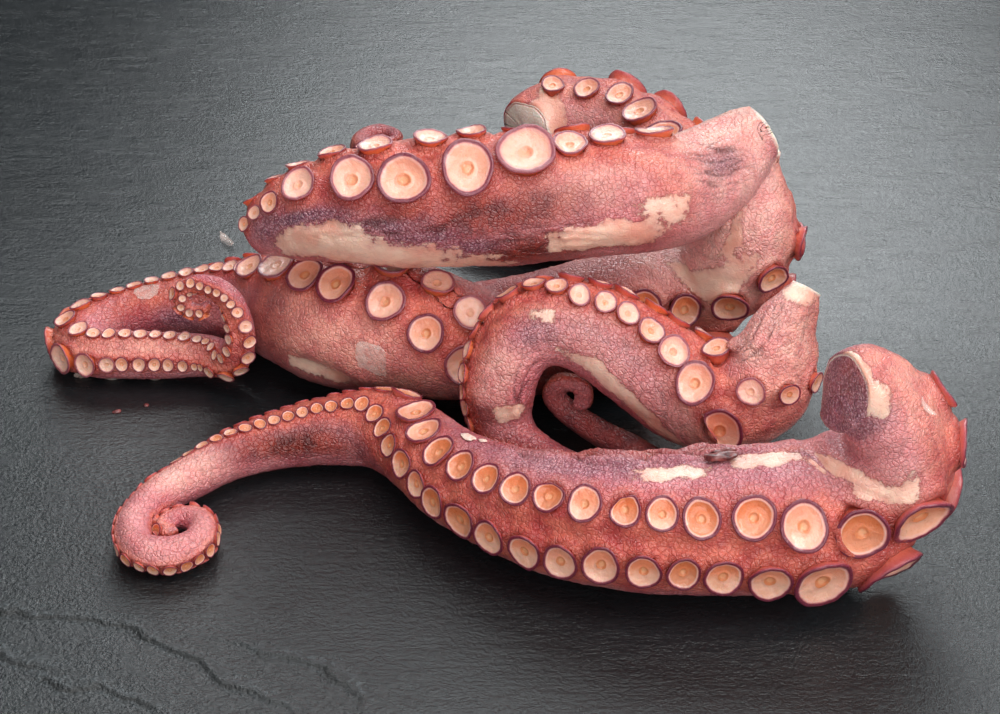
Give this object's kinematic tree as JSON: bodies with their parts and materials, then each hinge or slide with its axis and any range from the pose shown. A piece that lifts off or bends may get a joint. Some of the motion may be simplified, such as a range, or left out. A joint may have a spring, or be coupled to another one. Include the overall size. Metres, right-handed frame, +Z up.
{
  "type": "cooked octopus arms on a slate board",
  "caption": "Cut arms of cooked octopus with suckers, heaped and curling, resting on a flat riven slate serving board.",
  "frame": {"origin": "middle of the slate board's underside", "axes": "+Z up, +X along the board's longer side, -Y towards the front, where the longest arm lies"},
  "size_m": [0.42, 0.4, 0.0772],
  "materials": {
    "slate": "riven natural slate, oiled, dark grey",
    "octopus": "wet cooked octopus skin, rose red with peach suckers, moist gloss"
  },
  "bodies": {
    "root": {"slate_board": "slate", "front_arm": "octopus", "left_arm": "octopus", "upper_pair": "octopus", "middle_arm": "octopus", "back_arm": "octopus"}
  },
  "joints": []
}
